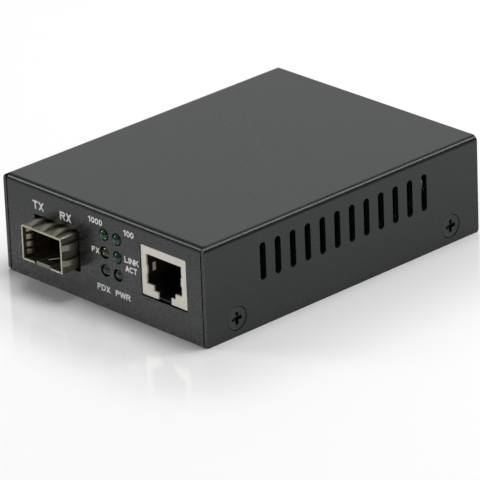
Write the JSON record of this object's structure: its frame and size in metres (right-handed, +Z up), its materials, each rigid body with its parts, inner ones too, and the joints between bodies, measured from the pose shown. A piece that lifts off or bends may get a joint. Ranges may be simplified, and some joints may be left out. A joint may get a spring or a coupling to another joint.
{
  "type": "fibre media converter",
  "caption": "Metal-cased fibre media converter with a module cage that stands out of the front, a network socket, status lamps, slotted sides and a power inlet behind.",
  "frame": {"origin": "middle of the case's underside, on the surface that it stands on", "axes": "+Z up, front panel towards -Y, network socket and its vents on the +X side"},
  "size_m": [0.072, 0.0992, 0.026],
  "materials": {
    "case_paint": "fine semi-matt black powder paint",
    "screw_black": "blackened steel",
    "cage_steel": "plated sheet, satin",
    "zinc_steel": "zinc plated",
    "tinned_copper": "tinned wire",
    "gold_spring": "thin gold plate",
    "socket_plastic": "moulded, ivory",
    "black_plastic": "moulded, black",
    "chip_resin": "moulded epoxy",
    "board_laminate": "green solder mask",
    "lamp_green": "tinted clear resin",
    "lamp_olive": "tinted clear resin",
    "can_aluminium": "drawn",
    "crystal_can": "nickel plated",
    "ferrite": "pressed, matt",
    "capacitor_ceramic": "fired, matt"
  },
  "bodies": {
    "root": {"top_cover": "case_paint", "base_tray": "case_paint", "cover_screws": "screw_black", "board_standoffs": "zinc_steel", "board_screws": "zinc_steel", "circuit_board": "board_laminate", "sfp_cage_shell": "cage_steel", "sfp_cage_floor": "cage_steel", "sfp_spring_collar": "cage_steel", "sfp_connector": "black_plastic", "sfp_contacts": "gold_spring", "rj45_front_plate": "socket_plastic", "rj45_housing": "black_plastic", "rj45_contacts": "gold_spring", "led_holder": "black_plastic", "led_leads": "tinned_copper", "led_1000": "lamp_green", "led_100": "lamp_green", "led_fx": "lamp_olive", "led_link_act": "lamp_green", "led_fdx": "lamp_green", "led_pwr": "lamp_green", "lan_transformer": "chip_resin", "transformer_leads": "tinned_copper", "phy_chip": "chip_resin", "converter_chip": "chip_resin", "config_memory": "chip_resin", "voltage_regulator": "chip_resin", "bulk_capacitors": "can_aluminium", "clock_crystal": "crystal_can", "power_inductor": "ferrite", "ceramic_capacitors": "capacitor_ceramic", "dc_jack_housing": "black_plastic", "dc_jack_pin": "zinc_steel", "dc_jack_spring": "gold_spring"}
  },
  "joints": []
}
